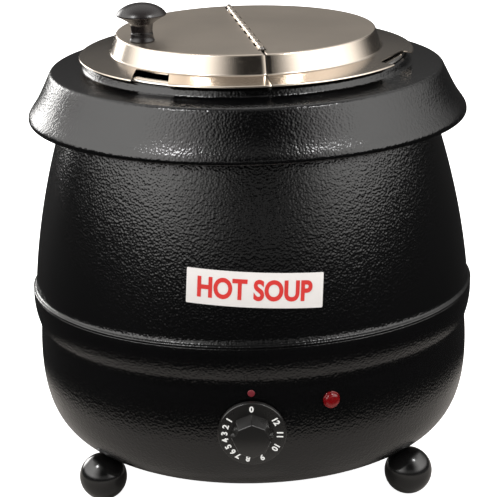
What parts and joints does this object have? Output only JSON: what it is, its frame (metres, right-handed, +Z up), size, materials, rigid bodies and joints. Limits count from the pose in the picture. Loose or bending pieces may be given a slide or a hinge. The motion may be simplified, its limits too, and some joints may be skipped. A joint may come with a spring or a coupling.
{
  "type": "soup kettle",
  "caption": "Electric buffet soup kettle: round black steel body on ball feet, broad collar, lift-out pot, half-hinged steel lid with knob, rotary thermostat and pilot lamp.",
  "frame": {"origin": "on the kettle's upright axis, at the surface that its feet stand on", "axes": "+Z up, -Y towards the front with the dial, +X to the right of someone facing the front"},
  "size_m": [0.34, 0.3588, 0.3794],
  "materials": {
    "hammered_black": "glossy hammer-finish powder coat",
    "satin_steel": "satin",
    "bright_steel": "polished",
    "zinc_steel": "zinc plated",
    "black_plastic": "glossy",
    "black_phenolic": "glossy moulded phenolic",
    "red_lens": "clear red lens",
    "red_ink": "printed",
    "white_magnet": "printed magnetic sheet",
    "heater_sheath": "heat-stained sheath",
    "aluminium": "satin",
    "copper": "drawn tube",
    "ivory_plastic": "moulded",
    "brown_wire": "insulation",
    "blue_wire": "insulation"
  },
  "bodies": {
    "kettle": {"upper_shell": "hammered_black", "lower_shell": "hammered_black", "base_plate": "hammered_black", "ball_foot_front_left": "black_plastic", "ball_foot_front_right": "black_plastic", "ball_foot_rear": "black_plastic", "foot_stud_front_left": "zinc_steel", "foot_stud_front_right": "zinc_steel", "foot_stud_rear": "zinc_steel", "base_plate_screw_1": "zinc_steel", "base_plate_screw_2": "zinc_steel", "base_plate_screw_3": "zinc_steel", "well_screw_1": "zinc_steel", "well_screw_2": "zinc_steel", "well_screw_3": "zinc_steel", "water_well": "satin_steel", "heating_element": "heater_sheath", "heater_clamp_plate": "aluminium", "clamp_stud": "zinc_steel", "clamp_nut": "zinc_steel", "thermal_cutout": "black_plastic", "thermostat_body": "ivory_plastic", "thermostat_nut": "zinc_steel", "capillary_tube": "copper", "sensor_bulb": "copper", "bulb_clip": "aluminium", "pilot_lamp_lens": "red_lens", "pilot_lamp_body": "ivory_plastic", "pilot_lamp_nut": "black_plastic", "index_mark": "red_ink", "menu_label": "white_magnet", "cord_gland": "black_plastic", "gland_nut": "black_plastic", "terminal_block": "ivory_plastic", "live_wire": "brown_wire", "neutral_wire": "blue_wire", "heater_wire": "brown_wire"},
    "collar": {"collar_ring": "hammered_black"},
    "pot": {"soup_pot": "bright_steel"},
    "lid": {"lid_fixed_half": "satin_steel", "hinge_pin": "zinc_steel"},
    "lid_flap": {"lid_flap": "satin_steel", "lid_knob": "black_phenolic", "knob_screw": "zinc_steel"},
    "dial": {"control_dial": "black_plastic", "thermostat_shaft": "zinc_steel"}
  },
  "joints": [
    {"name": "collar_lift", "type": "slide", "parent": "kettle", "child": "collar", "axis": [0, 0, 1], "range_m": [0, 0.08]},
    {"name": "pot_lift", "type": "slide", "parent": "collar", "child": "pot", "axis": [0, 0, 1], "range_m": [0, 0.26]},
    {"name": "lid_lift", "type": "slide", "parent": "pot", "child": "lid", "axis": [0, 0, 1], "range_m": [0, 0.12]},
    {"name": "lid_flap_hinge", "type": "hinge", "parent": "lid", "child": "lid_flap", "pos_m": [0, 0, 0.3512], "axis": [-0.1564, 0.9877, 0], "range_deg": [0, 150]},
    {"name": "dial_turn", "type": "hinge", "parent": "kettle", "child": "dial", "pos_m": [0, -0.16508, 0.09034], "axis": [0, 0.9947, 0.1032], "range_deg": [0, 296]}
  ]
}
